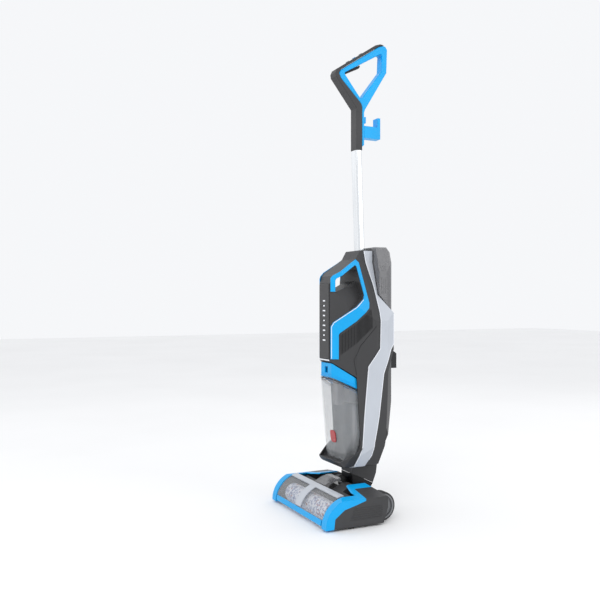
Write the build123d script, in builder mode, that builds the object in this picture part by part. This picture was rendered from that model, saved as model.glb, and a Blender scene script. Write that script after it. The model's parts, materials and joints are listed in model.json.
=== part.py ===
from build123d import *
import os
from math import cos, radians, sin, tan

# Upright wet and dry floor scrubber. Millimetres, +Z up, the front is -Y.
# Side outlines are lists of (depth behind the front bumper, height above the floor).

# ---- whole machine ----
OVERALL_HEIGHT = 1165.0
OVERALL_DEPTH = 275.0
HEAD_WIDTH = 300.0
HEAD_DEPTH = 163.0
BODY_WIDTH = 160.0

# ---- walls and clearances ----
WALL = 3.0
SKIN = 2.0
TANK_WALL = 2.2
GAP = 0.4
RUNNING = 0.05
SLIDE_GAP = 1.5

# ---- cleaning head ----
HEAD_BOTTOM = 5.0
CHEEK_THICKNESS = 22.0
CHEEK_RADIUS = 66.0
CHEEK_SIDE_HEIGHT = 66.0
FENDER_INNER = 70.0
FENDER_FRONT = 88.0
FENDER_HEIGHT = 80.0
TRIM_BACK = 104.0
INNER_PLATE = 4.0
GLIDE_RADIUS = 7.0
BRUSH_DEPTH = 43.0
BRUSH_DIAMETER = 49.0
BRUSH_FLOOR_GAP = 2.5
BRUSH_CORE_RADIUS = 19.0
BRUSH_BORE_RADIUS = 5.0
BRUSH_TONGUE = 6.0
BRUSH_OUT_RISE = 16.3
CAP_THICKNESS = 8.0
CHAMBER_GAP = 4.5
CHAMBER_WALL = 2.5
WINDOW_WALL = 2.5
DUCT_HALF = 26.0
WHEEL_RADIUS = 34.0
WHEEL_WIDTH = 24.0
AXLE_DEPTH = 165.0
AXLE_RADIUS = 4.0
TYRE_THICKNESS = 4.0
BELT_WIDTH = 7.0
BELT_THICKNESS = 1.6
DRIVE_PULLEY_RADIUS = 13.0
MOTOR_PULLEY_RADIUS = 7.0
MOTOR_RADIUS = 18.0
MOTOR_LENGTH = 74.0
MOTOR_DEPTH = 99.0
MOTOR_HEIGHT = 36.0
SHAFT_RADIUS = 4.0
GLIDE_DEPTH = 72.0
HOSE_DEPTH = 120.0
HOSE_HEIGHT = 72.5
HOSE_RADIUS = 10.0
HOSE_BORE = 7.5
HOSE_LENGTH = 13.0

# ---- neck ----
PIVOT_DEPTH = 165.0
PIVOT_HEIGHT = 52.0
BARREL_RADIUS = 19.0
PIVOT_PIN_RADIUS = 6.0
NECK_HALF = 28.0
NECK_FRONT = 137.0
NECK_REAR = 195.0
EAR_WIDTH = 8.0
SWIVEL_HEIGHT = 80.0
SWIVEL_SLOPE = 24.4
SWIVEL_GAP = 0.8
SWIVEL_TUBE_RADIUS = 19.0
SWIVEL_TUBE_RISE = 20.0

# ---- body ----
SPINE_DEPTH = 75.0
SPINE_HALF = 27.0
KNEE_DEPTH = 125.0
KNEE_HALF = 69.0
BODY_BOTTOM = 112.0
BODY_TOP = 642.0
BODY_REAR = 228.0
SHOULDER_HEIGHT = 487.0
PARTING_DEPTH = 188.0
LIP_HEIGHT = 372.0
LIP_REAR = 126.0
CEILING_SLOPE = 0.743
BAY_HALF = 65.0
BAY_FLOOR = 128.5
BAY_REAR = 188.0
LINER_WALL = 2.4
DUCT_COVER_HALF = 62.0
DUCT_COVER_REAR = 238.0
DUCT_BORE = 12.0
SPINE_SLOTS = 9
SPINE_SLOT_PITCH = 12.0
SPINE_SLOT_CENTRE = 470.0

# ---- inside the body ----
FAN_MOTOR_RADIUS = 36.0
FAN_RADIUS = 40.0
FAN_DEPTH = 140.0
FAN_HEIGHT = 484.0
FAN_MOTOR_LENGTH = 74.0
FAN_BLADES = 9
PUMP_RADIUS = 15.0
PUMP_LENGTH = 60.0

# ---- tanks ----
TANK_FRONT = 79.0
RIM_FRONT = 331.0
RIM_SLOPE = 0.524
LID_WALL = 2.5
CLEAN_BOTTOM = 428.0
CLEAN_HALF = 55.0
CLEAN_UPPER_HALF = 68.0
CLEAN_TOP_HALF = 46.0
POCKET_FLOOR = 402.0
CLEAN_TOP = 650.0
VALVE_DEPTH = 207.0
VALVE_RADIUS = 16.0
VALVE_HEIGHT = 16.0
STANDPIPE_DEPTH = 162.0
STANDPIPE_RADIUS = 9.0
STEM_RADIUS = 6.0

# ---- tube and handle ----
TUBE_WIDTH = 28.0
TUBE_THICKNESS = 18.0
TUBE_WALL = 1.5
TUBE_DEPTH = 172.5
TUBE_LEAN = 2.0
TUBE_INSERT = 42.0
HANDLE_HEIGHT = 272.0
HANDLE_WIDTH = 30.0
LOOP_WIDTH = 25.0
HANDLE_ROUNDING = 2.0
TRIGGER_WIDTH = 12.0
HOOK_WIDTH = 22.0
BUTTON_RADIUS = 4.5
BUTTON_WELL = 3.0
BUTTON_PITCH = 22.0
HOOK_PEG_RADIUS = 5.0
HOOK_PEG_HEIGHT = 47.0
CORD_HOLE_HEIGHT = 310.0
CORD_HOLE_RADIUS = 4.0

half_head = HEAD_WIDTH / 2
cheek_inner = half_head - CHEEK_THICKNESS
plate_inner = cheek_inner - INNER_PLATE
half_body = BODY_WIDTH / 2
floor_plate = HEAD_BOTTOM + WALL + GAP
brush_height = BRUSH_DIAMETER / 2 + BRUSH_FLOOR_GAP
chamber_radius = BRUSH_DIAMETER / 2 + CHAMBER_GAP
handle_bottom = OVERALL_HEIGHT - HANDLE_HEIGHT
pieces = []


def back(depth):
    """The Y coordinate of a depth behind the front bumper."""
    return depth - OVERALL_DEPTH / 2


def outline(plane, points, rounding=0.0, grow=0.0):
    """A closed outline on a plane, grown or shrunk, then rounded at its corners."""
    with BuildSketch(plane) as flat:
        with BuildLine():
            Polyline(*points, close=True)
        make_face()
        if grow:
            offset(amount=grow, kind=Kind.INTERSECTION)
        if rounding:
            fillet(flat.vertices(), rounding)
    return flat.sketch


def side(points, x=0.0, rounding=0.0, grow=0.0):
    """A side view outline, standing on the plane at x."""
    return outline(Plane.YZ.offset(x), [(back(d), z) for d, z in points], rounding, grow)


def plan(points, z=0.0, rounding=0.0, grow=0.0):
    """A mirrored plan outline from (half width, depth) points, lying at height z."""
    right = [(x, back(d)) for x, d in points]
    left = [(-x, y) for x, y in reversed(right)]
    return outline(Plane.XY.offset(z), right + left, rounding, grow)


def front(points, depth=0.0, rounding=0.0, grow=0.0):
    """A mirrored front view outline from (half width, height) points, facing the rear."""
    left = [(-x, z) for x, z in reversed(points)]
    plane = Plane(origin=(0, back(depth), 0), x_dir=(-1, 0, 0), z_dir=(0, 1, 0))
    return outline(plane, points + left, rounding, grow)


def disc(plane, radius, inner=0.0):
    """A round or ring outline on a plane."""
    with BuildSketch(plane) as flat:
        Circle(radius)
        if inner:
            Circle(inner, mode=Mode.SUBTRACT)
    return flat.sketch


def cross(depth, height, x=0.0):
    """The side view plane at x, centred on a point of the side view."""
    return Plane(origin=(x, back(depth), height), x_dir=(0, 1, 0), z_dir=(1, 0, 0))


def level(depth, height, x=0.0):
    """A level plane, centred on a point of the side view."""
    return Plane(origin=(x, back(depth), height))


def keep(piece, name):
    """Names a finished piece and lists it for writing."""
    piece.part.label = name
    pieces.append(piece)


def keep_mirrored(piece, name):
    """Adds the mirror image of a right hand piece as the left hand one."""
    with BuildPart() as other:
        add(mirror(piece.part, about=Plane.YZ))
    keep(other, name)


# ---------------------------------------------------------------- cheeks of the head

fender_top = [(FENDER_FRONT, HEAD_BOTTOM + CHEEK_RADIUS), (FENDER_FRONT + 12, FENDER_HEIGHT),
              (HEAD_DEPTH - 16, FENDER_HEIGHT), (HEAD_DEPTH, FENDER_HEIGHT - 16)]


def cheek_outline(x, grow=0.0):
    """Side outline of a cheek: a quarter round front, rising to a shoulder over the wheel."""
    r = CHEEK_RADIUS
    knee = r * sin(radians(45))
    rest = [(r, HEAD_BOTTOM + r)] + fender_top + [(HEAD_DEPTH, 40), (HEAD_DEPTH - 12, HEAD_BOTTOM),
                                                  (0, HEAD_BOTTOM)]
    with BuildSketch(Plane.YZ.offset(x)) as flat:
        with BuildLine():
            ThreePointArc((back(0), HEAD_BOTTOM), (back(r - knee), HEAD_BOTTOM + knee),
                          (back(r), HEAD_BOTTOM + r))
            Polyline(*[(back(d), z) for d, z in rest])
        make_face()
        if grow:
            offset(amount=grow, kind=Kind.INTERSECTION)
    return flat.sketch


def fender_slope(x_inner, x_outer, drop=0.0):
    """Front view of the space under the slanted top of the right cheek."""
    rise = (FENDER_HEIGHT - CHEEK_SIDE_HEIGHT) / (half_head - FENDER_INNER)
    low = CHEEK_SIDE_HEIGHT + rise * (half_head - x_outer) - drop
    high = CHEEK_SIDE_HEIGHT + rise * (half_head - x_inner) - drop
    plane = Plane(origin=(0, back(-1), 0), x_dir=(-1, 0, 0), z_dir=(0, 1, 0))
    return outline(plane, [(-x_inner, 0), (-x_outer, 0), (-x_outer, low), (-x_inner, high)])


with BuildPart() as cheek_form:
    extrude(cheek_outline(cheek_inner), amount=CHEEK_THICKNESS)
    extrude(side(fender_top + [(HEAD_DEPTH, 60), (FENDER_FRONT, 60)], FENDER_INNER),
            amount=cheek_inner - FENDER_INNER)
    extrude(fender_slope(FENDER_INNER, half_head), amount=HEAD_DEPTH + 2, mode=Mode.INTERSECT)

with BuildPart() as wheel_well:
    extrude(disc(cross(AXLE_DEPTH, WHEEL_RADIUS, FENDER_INNER - 1), WHEEL_RADIUS + SLIDE_GAP),
            amount=cheek_inner - FENDER_INNER + 1)

with BuildPart() as cheek_hollow:
    extrude(cheek_outline(cheek_inner - 1, -WALL), amount=CHEEK_THICKNESS + 1 - WALL)
    extrude(side([(FENDER_FRONT - 1, 0), (HEAD_DEPTH - WALL, 0), (HEAD_DEPTH - WALL, FENDER_HEIGHT),
                  (FENDER_FRONT - 1, FENDER_HEIGHT)], FENDER_INNER - 1),
            amount=cheek_inner - FENDER_INNER + 2)
    extrude(fender_slope(FENDER_INNER - 1, half_head - WALL, WALL), amount=HEAD_DEPTH, mode=Mode.INTERSECT)

with BuildPart() as trim_zone:
    extrude(side([(-2, 0), (21, 0), (24, 28), (48, 46), (80, 54), (TRIM_BACK, 61), (TRIM_BACK, 100),
                  (-2, 100)], FENDER_INNER - 2), amount=half_head - FENDER_INNER + 4)
    extrude(side([(TRIM_BACK - 1, 50), (HEAD_DEPTH + 2, 50), (HEAD_DEPTH + 2, 100), (TRIM_BACK - 1, 100)],
                 FENDER_INNER - 2), amount=27)

with BuildPart() as side_panel:
    add(cheek_form.part)
    add(cheek_hollow.part, mode=Mode.SUBTRACT)
    add(wheel_well.part, mode=Mode.SUBTRACT)
    add(trim_zone.part, mode=Mode.SUBTRACT)
keep(side_panel, "side_panel_right")
keep_mirrored(side_panel, "side_panel_left")

with BuildPart() as side_trim:
    add(cheek_form.part)
    add(cheek_hollow.part, mode=Mode.SUBTRACT)
    add(wheel_well.part, mode=Mode.SUBTRACT)
    add(trim_zone.part, mode=Mode.INTERSECT)
keep(side_trim, "side_trim_right")
keep_mirrored(side_trim, "side_trim_left")

# ---------------------------------------------------------------- frame of the head

wheel_inner = plate_inner - SLIDE_GAP - WHEEL_WIDTH
bracket_outer = wheel_inner - SLIDE_GAP
bracket_inner = bracket_outer - INNER_PLATE
ear_inner = NECK_HALF + 4.0
ear_outer = ear_inner + EAR_WIDTH
frame_half = half_head - WALL - GAP

with BuildPart() as base_frame:
    extrude(plan([(frame_half, 20), (frame_half, HEAD_DEPTH - 18)], floor_plate), amount=WALL)
    extrude(plan([(plate_inner - GAP, 0), (plate_inner - GAP, 76)], floor_plate - 1), amount=WALL + 2,
            mode=Mode.SUBTRACT)
    for hand in (-1, 1):
        with Locations((hand * (wheel_inner + plate_inner) / 2, back(AXLE_DEPTH), floor_plate)):
            Box(plate_inner - bracket_outer, 2 * WHEEL_RADIUS + 8, 3 * WALL, mode=Mode.SUBTRACT)
    for x in (plate_inner, -cheek_inner):
        extrude(cheek_outline(x, -WALL - GAP), amount=INNER_PLATE)
    extrude(side([(0, FENDER_HEIGHT - 9), (0, 200), (200, 200), (200, 60), (FENDER_FRONT - 4, 62)],
                 -half_head), amount=HEAD_WIDTH, mode=Mode.SUBTRACT)
    for x in (bracket_inner, -bracket_outer):
        extrude(side([(118, floor_plate), (145, floor_plate), (174, 26), (174, 42), (150, 44)], x),
                amount=INNER_PLATE)
    for x in (ear_inner, -ear_outer):
        extrude(side([(124, floor_plate), (145, floor_plate), (185, 44), (178, 64), (150, 66)], x, 3),
                amount=EAR_WIDTH)
    extrude(disc(cross(AXLE_DEPTH, WHEEL_RADIUS), AXLE_RADIUS), amount=half_head, both=True,
            mode=Mode.SUBTRACT)
    extrude(disc(cross(PIVOT_DEPTH, PIVOT_HEIGHT), PIVOT_PIN_RADIUS), amount=ear_outer + 1, both=True,
            mode=Mode.SUBTRACT)
    extrude(disc(cross(BRUSH_DEPTH, brush_height, -half_head), DRIVE_PULLEY_RADIUS - 3),
            amount=half_head - plate_inner + 1, mode=Mode.SUBTRACT)
    extrude(disc(cross(MOTOR_DEPTH, MOTOR_HEIGHT, -half_head), SHAFT_RADIUS + 1),
            amount=half_head - plate_inner + 1, mode=Mode.SUBTRACT)
keep(base_frame, "base_frame")

with BuildPart() as brush_chamber:
    with BuildSketch(cross(BRUSH_DEPTH, brush_height)):
        Circle(chamber_radius + CHAMBER_WALL)
        Circle(chamber_radius, mode=Mode.SUBTRACT)
        with BuildLine():
            Polyline((0, 0), (70 * cos(radians(50)), 70 * sin(radians(50))), (70, 0),
                     (70 * cos(radians(-33)), 70 * sin(radians(-33))), close=True)
        make_face(mode=Mode.INTERSECT)
    extrude(amount=plate_inner - GAP, both=True)
    with Locations((0, back(BRUSH_DEPTH + chamber_radius), 33)):
        Box(2 * DUCT_HALF - 8, 16, 20, mode=Mode.SUBTRACT)
keep(brush_chamber, "brush_chamber")

duct_front = BRUSH_DEPTH + chamber_radius + CHAMBER_WALL + GAP
with BuildPart() as suction_duct:
    extrude(side([(duct_front, 20), (100, 20), (128, 44), (116, 72), (98, 70), (duct_front, 52)], 0, 5),
            amount=DUCT_HALF, both=True)
    extrude(side([(duct_front - 1, 23), (99, 23), (124, 45), (115, 67), (99, 66), (duct_front - 1, 44)],
                 0, 4), amount=DUCT_HALF - WALL, both=True, mode=Mode.SUBTRACT)
    extrude(side([(114, 56), (132, 56), (132, 82), (110, 82)]), amount=12, both=True, mode=Mode.SUBTRACT)
keep(suction_duct, "suction_duct")

cover_front = BRUSH_DEPTH + 24.0
cover_knee = cover_front + 10.0
cover_rear = 121.0
cover_base = floor_plate + WALL
with BuildPart() as head_housing:
    extrude(side([(cover_front, 53), (100, 72), (110, 75.5), (cover_rear, 76.5), (cover_rear, cover_base),
                  (cover_knee, cover_base), (cover_knee, 50), (cover_front, 50)]),
            amount=FENDER_INNER - 1, both=True)
    extrude(side([(cover_front, 53), (FENDER_FRONT - 1, 64.5), (FENDER_FRONT - 1, cover_base),
                  (cover_knee, cover_base), (cover_knee, 50), (cover_front, 50)]),
            amount=plate_inner - GAP, both=True)
    extrude(side([(cover_knee + WALL, 0), (cover_knee + WALL, 54), (100, 67.5), (110, 72),
                  (cover_rear - WALL, 73), (cover_rear - WALL, 0)]),
            amount=FENDER_INNER - 1 - WALL, both=True, mode=Mode.SUBTRACT)
    extrude(side([(cover_knee + WALL, 0), (cover_knee + WALL, 54), (FENDER_FRONT - 1, 59.5),
                  (FENDER_FRONT - 1, 0)]),
            amount=plate_inner - GAP - WALL, both=True, mode=Mode.SUBTRACT)
    extrude(side([(50, 19.5), (50, 100), (140, 100), (140, 19.5)]), amount=DUCT_HALF + GAP, both=True,
            mode=Mode.SUBTRACT)
    for hand in (-1, 1):
        with Locations((hand * FENDER_INNER, back(MOTOR_DEPTH), MOTOR_HEIGHT - 2)):
            Box(2 * WALL + 4, 2 * MOTOR_RADIUS + WALL, 2 * MOTOR_RADIUS + 9, mode=Mode.SUBTRACT)
keep(head_housing, "head_housing")

with BuildPart() as front_glides:
    for hand in (-1, 1):
        extrude(disc(level(GLIDE_DEPTH, 0, hand * (half_head - 12)), GLIDE_RADIUS), amount=HEAD_BOTTOM)
keep(front_glides, "front_glides")

# ---------------------------------------------------------------- brush drive

motor_left = -plate_inner + 6.0
belt_left = -half_head + WALL + 3.0
with BuildPart() as brush_motor:
    extrude(disc(cross(MOTOR_DEPTH, MOTOR_HEIGHT, motor_left), MOTOR_RADIUS), amount=MOTOR_LENGTH)
    fillet(brush_motor.edges().filter_by(GeomType.CIRCLE), 2)
    extrude(disc(cross(MOTOR_DEPTH, MOTOR_HEIGHT, motor_left), SHAFT_RADIUS + RUNNING), amount=20,
            mode=Mode.SUBTRACT)
keep(brush_motor, "brush_motor")

with BuildPart() as motor_pulley:
    extrude(disc(cross(MOTOR_DEPTH, MOTOR_HEIGHT, belt_left), MOTOR_PULLEY_RADIUS), amount=BELT_WIDTH)
    extrude(disc(cross(MOTOR_DEPTH, MOTOR_HEIGHT, belt_left), SHAFT_RADIUS),
            amount=motor_left - belt_left + 18)
keep(motor_pulley, "motor_pulley")

hub_face = -plate_inner + 2.0
with BuildPart() as drive_hub:
    extrude(disc(cross(BRUSH_DEPTH, brush_height, belt_left), DRIVE_PULLEY_RADIUS), amount=BELT_WIDTH)
    extrude(disc(cross(BRUSH_DEPTH, brush_height, belt_left), DRIVE_PULLEY_RADIUS - 4),
            amount=hub_face - belt_left)
    with Locations(Location((hub_face + BRUSH_TONGUE / 2, back(BRUSH_DEPTH), brush_height),
                            (-BRUSH_OUT_RISE, 0, 0))):
        Box(BRUSH_TONGUE, 2 * DRIVE_PULLEY_RADIUS - 10, BRUSH_TONGUE)
keep(drive_hub, "drive_hub")


def belt_loop(room):
    """The side view outline round both pulleys, standing off them by a room."""
    with BuildSketch(cross(BRUSH_DEPTH, brush_height, belt_left + 0.5)) as flat:
        Circle(DRIVE_PULLEY_RADIUS + room)
        with Locations((MOTOR_DEPTH - BRUSH_DEPTH, MOTOR_HEIGHT - brush_height)):
            Circle(MOTOR_PULLEY_RADIUS + room)
        make_hull()
    return flat.sketch


with BuildPart() as drive_belt:
    extrude(belt_loop(GAP + BELT_THICKNESS), amount=BELT_WIDTH - 1)
    extrude(belt_loop(GAP), amount=BELT_WIDTH - 1, mode=Mode.SUBTRACT)
keep(drive_belt, "drive_belt")

# ---------------------------------------------------------------- wheels and pivot pins

with BuildPart() as axle_pins:
    for x in (bracket_inner - 3, -plate_inner):
        extrude(disc(cross(AXLE_DEPTH, WHEEL_RADIUS, x), AXLE_RADIUS),
                amount=plate_inner - bracket_inner + 3)
keep(axle_pins, "axle_pins")

hub_radius = WHEEL_RADIUS - TYRE_THICKNESS
for hand, x in (("left", -wheel_inner - WHEEL_WIDTH), ("right", wheel_inner)):
    with BuildPart() as wheel_hub:
        extrude(disc(cross(AXLE_DEPTH, WHEEL_RADIUS, x), hub_radius, AXLE_RADIUS + RUNNING),
                amount=WHEEL_WIDTH)
        for recess in (x, x + WHEEL_WIDTH - 5):
            extrude(disc(cross(AXLE_DEPTH, WHEEL_RADIUS, recess), hub_radius - 4, AXLE_RADIUS + 5),
                    amount=5, mode=Mode.SUBTRACT)
    keep(wheel_hub, "wheel_hub_" + hand)
    with BuildPart() as tyre:
        extrude(disc(cross(AXLE_DEPTH, WHEEL_RADIUS, x), WHEEL_RADIUS), amount=WHEEL_WIDTH)
        fillet(tyre.edges(), 2)
        extrude(disc(cross(AXLE_DEPTH, WHEEL_RADIUS, x), hub_radius), amount=WHEEL_WIDTH,
                mode=Mode.SUBTRACT)
    keep(tyre, "tyre_" + hand)

with BuildPart() as pivot_pins:
    for start, head in ((NECK_HALF - 10, ear_outer), (-ear_outer, -ear_outer - 3)):
        extrude(disc(cross(PIVOT_DEPTH, PIVOT_HEIGHT, start), PIVOT_PIN_RADIUS),
                amount=ear_outer - NECK_HALF + 10)
        extrude(disc(cross(PIVOT_DEPTH, PIVOT_HEIGHT, head), PIVOT_PIN_RADIUS + 3), amount=3)
keep(pivot_pins, "pivot_pins")

# ---------------------------------------------------------------- brush roll

core_left = -plate_inner + 2 + GAP
core_right = plate_inner - 2 * GAP - CAP_THICKNESS - 2
with BuildPart() as brush_core:
    extrude(disc(cross(BRUSH_DEPTH, brush_height, core_left), BRUSH_CORE_RADIUS),
            amount=core_right - core_left)
    extrude(disc(cross(BRUSH_DEPTH, brush_height, core_right - 24), BRUSH_BORE_RADIUS + RUNNING), amount=24,
            mode=Mode.SUBTRACT)
    with Locations(Location((core_left + BRUSH_TONGUE / 2, back(BRUSH_DEPTH), brush_height),
                            (-BRUSH_OUT_RISE, 0, 0))):
        Box(BRUSH_TONGUE + 2 * GAP, 2 * BRUSH_CORE_RADIUS + 2, BRUSH_TONGUE + 2 * GAP, mode=Mode.SUBTRACT)
keep(brush_core, "brush_core")

with BuildPart() as brush_nap:
    extrude(disc(cross(BRUSH_DEPTH, brush_height, core_left + 8), BRUSH_DIAMETER / 2, BRUSH_CORE_RADIUS),
            amount=core_right - core_left - 10)
keep(brush_nap, "brush_nap")

with BuildPart() as brush_cap:
    extrude(disc(cross(BRUSH_DEPTH, brush_height, core_right + GAP), BRUSH_CORE_RADIUS - 1),
            amount=CAP_THICKNESS)
    extrude(disc(cross(BRUSH_DEPTH, brush_height, core_right - 20), BRUSH_BORE_RADIUS), amount=21)
    with BuildSketch(cross(BRUSH_DEPTH, brush_height, core_right + GAP + CAP_THICKNESS)):
        with PolarLocations(11, 5):
            Circle(3)
    extrude(amount=-CAP_THICKNESS / 2, mode=Mode.SUBTRACT)
keep(brush_cap, "brush_cap")

# ---------------------------------------------------------------- brush window


def window_band(outer, inner, low, high, half):
    """A band of the window's round front, between two angles above the floor."""
    reach = 2 * outer
    spokes = [(-reach * cos(radians(a)), reach * sin(radians(a))) for a in (low, (low + high) / 2, high)]
    with BuildSketch(cross(CHEEK_RADIUS, HEAD_BOTTOM, -half)) as flat:
        Circle(outer)
        Circle(inner, mode=Mode.SUBTRACT)
        with BuildLine():
            Polyline((0, 0), *spokes, close=True)
        make_face(mode=Mode.INTERSECT)
    return flat.sketch


window_half = plate_inner - GAP
window_top = HEAD_BOTTOM + CHEEK_RADIUS
with BuildPart() as brush_window:
    extrude(window_band(CHEEK_RADIUS, CHEEK_RADIUS - WINDOW_WALL, 16, 86, window_half),
            amount=2 * window_half)
keep(brush_window, "brush_window")

with BuildPart() as window_bumper:
    extrude(window_band(CHEEK_RADIUS, CHEEK_RADIUS - WINDOW_WALL - 1, 4, 15.5, window_half),
            amount=2 * window_half)
keep(window_bumper, "window_bumper")

with BuildPart() as window_rib:
    extrude(window_band(CHEEK_RADIUS + SKIN, CHEEK_RADIUS, 18, 84, 14), amount=28)
    extrude(window_band(CHEEK_RADIUS + SKIN, CHEEK_RADIUS, 70, 84, window_half), amount=2 * window_half)
keep(window_rib, "window_rib")

with BuildPart() as window_duct:
    extrude(side([(CHEEK_RADIUS - 4.6, window_top + SKIN + GAP), (CHEEK_RADIUS + 8, window_top + 9),
                  (92, 86), (106, 86), (106, 81), (94, 80), (CHEEK_RADIUS + 10, window_top + SKIN + GAP)]),
            amount=DUCT_HALF, both=True)
keep(window_duct, "window_duct")

# ---------------------------------------------------------------- neck


def swivel_face(depth, lift=0.0):
    """Height of the slanted swivel face at a depth, raised by a lift."""
    return SWIVEL_HEIGHT - (depth - PIVOT_DEPTH) * tan(radians(SWIVEL_SLOPE)) + lift


swivel_axis = (0, sin(radians(SWIVEL_SLOPE)), cos(radians(SWIVEL_SLOPE)))
swivel_plane = Plane(origin=(0, back(PIVOT_DEPTH), SWIVEL_HEIGHT), x_dir=(1, 0, 0), z_dir=swivel_axis)

with BuildPart() as neck_yoke:
    extrude(side([(NECK_FRONT, swivel_face(NECK_FRONT)), (NECK_REAR, swivel_face(NECK_REAR)), (184, 50),
                  (148, 46), (NECK_FRONT, 72)]), amount=NECK_HALF, both=True)
    extrude(disc(cross(PIVOT_DEPTH, PIVOT_HEIGHT), BARREL_RADIUS), amount=NECK_HALF + 3, both=True)
    extrude(disc(swivel_plane, SWIVEL_TUBE_RADIUS), amount=SWIVEL_TUBE_RISE)
    extrude(disc(swivel_plane, SWIVEL_TUBE_RADIUS - WALL), amount=60, both=True, mode=Mode.SUBTRACT)
    extrude(disc(cross(PIVOT_DEPTH, PIVOT_HEIGHT), PIVOT_PIN_RADIUS + RUNNING), amount=60, both=True,
            mode=Mode.SUBTRACT)
keep(neck_yoke, "neck_yoke")

with BuildPart() as neck_block:
    extrude(side([(NECK_FRONT, swivel_face(NECK_FRONT, SWIVEL_GAP)),
                  (NECK_REAR, swivel_face(NECK_REAR, SWIVEL_GAP)), (204, 90), (207, BODY_BOTTOM),
                  (NECK_FRONT, BODY_BOTTOM)]), amount=NECK_HALF, both=True)
    extrude(disc(swivel_plane, SWIVEL_TUBE_RADIUS + GAP), amount=SWIVEL_TUBE_RISE + 3, both=True,
            mode=Mode.SUBTRACT)
    extrude(disc(level(PIVOT_DEPTH + 10, BODY_BOTTOM), DUCT_BORE), amount=-20, mode=Mode.SUBTRACT)
keep(neck_block, "neck_block")

with BuildPart() as suction_hose:
    hose_start = Plane(origin=(0, back(HOSE_DEPTH), HOSE_HEIGHT), z_dir=(0, 0.55, 0.83))
    extrude(disc(hose_start, HOSE_RADIUS, HOSE_BORE), amount=HOSE_LENGTH)
keep(suction_hose, "suction_hose")

# ---------------------------------------------------------------- outer form of the body

lip_rear_height = LIP_HEIGHT - CEILING_SLOPE * (LIP_REAR - SPINE_DEPTH)
body_side = [(SPINE_DEPTH, LIP_HEIGHT), (SPINE_DEPTH, 562), (82, 578), (142, 621), (154, BODY_TOP),
             (PARTING_DEPTH, BODY_TOP), (PARTING_DEPTH, SHOULDER_HEIGHT + 47), (BODY_REAR, SHOULDER_HEIGHT),
             (BODY_REAR, 400), (208, 345), (204, 250), (200, 175), (190, BODY_BOTTOM), (118, BODY_BOTTOM),
             (138, 165), (LIP_REAR, lip_rear_height)]
flare = (KNEE_HALF - SPINE_HALF) / (KNEE_DEPTH - SPINE_DEPTH)
body_plan = [(SPINE_HALF - 10 * flare, SPINE_DEPTH - 10), (KNEE_HALF, KNEE_DEPTH), (half_body, 175),
             (half_body, 206), (half_body - 12, 240), (half_body - 12, 300)]
body_front = [(34, BODY_BOTTOM - 10), (34, BODY_BOTTOM), (60, 120), (half_body - 2, 165), (half_body, 190),
              (half_body, 470), (half_body - 44, 612), (half_body - 44, 700)]


def body_block(points, grow=0.0, side_grow=0.0):
    """The body's form inside a side outline: a wedge in plan, drawn in at its foot and its top."""
    with BuildPart() as block:
        extrude(side(points, grow=side_grow), amount=BODY_WIDTH, both=True)
        extrude(plan(body_plan, grow=grow), amount=OVERALL_HEIGHT, mode=Mode.INTERSECT)
        extrude(front(body_front, -20, grow=grow), amount=OVERALL_DEPTH + 60, mode=Mode.INTERSECT)
    return block.part


body_form = body_block(body_side)
body_hollow = body_block(body_side, -WALL, -WALL)

with BuildPart() as front_zone:
    extrude(side([(40, LIP_HEIGHT + 60), (40, 300), (LIP_REAR, 300), (LIP_REAR - 2, 400), (142, 416),
                  (171, 452), (173, 530), (164, 600), (152, 660), (40, 700)]), amount=BODY_WIDTH, both=True)

# ---------------------------------------------------------------- tank bay


def bay_form(side_points, half, foot):
    """A bay shaped block: a side outline with its lower corners drawn in."""
    with BuildPart() as block:
        extrude(side(side_points), amount=half, both=True)
        extrude(front([(foot, side_points[0][1]), (half, 200), (half, 420)], 40), amount=OVERALL_DEPTH,
                mode=Mode.INTERSECT)
    return block.part


def ceiling(depth, lift=0.0):
    """Height of the bay's sloping ceiling at a depth."""
    return LIP_HEIGHT - CEILING_SLOPE * (depth - SPINE_DEPTH) + lift


bay_edge = [(LIP_REAR + 0.5, ceiling(LIP_REAR + 0.5, LINER_WALL)), (138.5, 165),
            (138.5 - 14.2, BAY_FLOOR - LINER_WALL)]
liner_outer = [(bay_edge[2][0], bay_edge[2][1]), (BAY_REAR + LINER_WALL, BAY_FLOOR - LINER_WALL),
               (BAY_REAR + LINER_WALL, ceiling(BAY_REAR, LINER_WALL)), bay_edge[0], bay_edge[1]]
liner_inner = [(90, BAY_FLOOR), (BAY_REAR - 6, BAY_FLOOR), (BAY_REAR, BAY_FLOOR + 6),
               (BAY_REAR, ceiling(BAY_REAR)), (90, ceiling(90))]
bay_foot = BAY_HALF - 19.0
with BuildPart() as bay_liner:
    add(bay_form(liner_outer, BAY_HALF + LINER_WALL, bay_foot + LINER_WALL))
    add(bay_form(liner_inner, BAY_HALF, bay_foot), mode=Mode.SUBTRACT)
keep(bay_liner, "bay_liner")

liner_room = LINER_WALL + GAP
bay_cut = bay_form([(40, BAY_FLOOR - liner_room), (BAY_REAR + liner_room, BAY_FLOOR - liner_room),
                    (BAY_REAR + liner_room, ceiling(BAY_REAR, liner_room)),
                    (LIP_REAR - WALL, ceiling(LIP_REAR - WALL, liner_room)), (LIP_REAR - WALL, 300),
                    (40, 300)], BAY_HALF + liner_room, bay_foot + liner_room)

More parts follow.
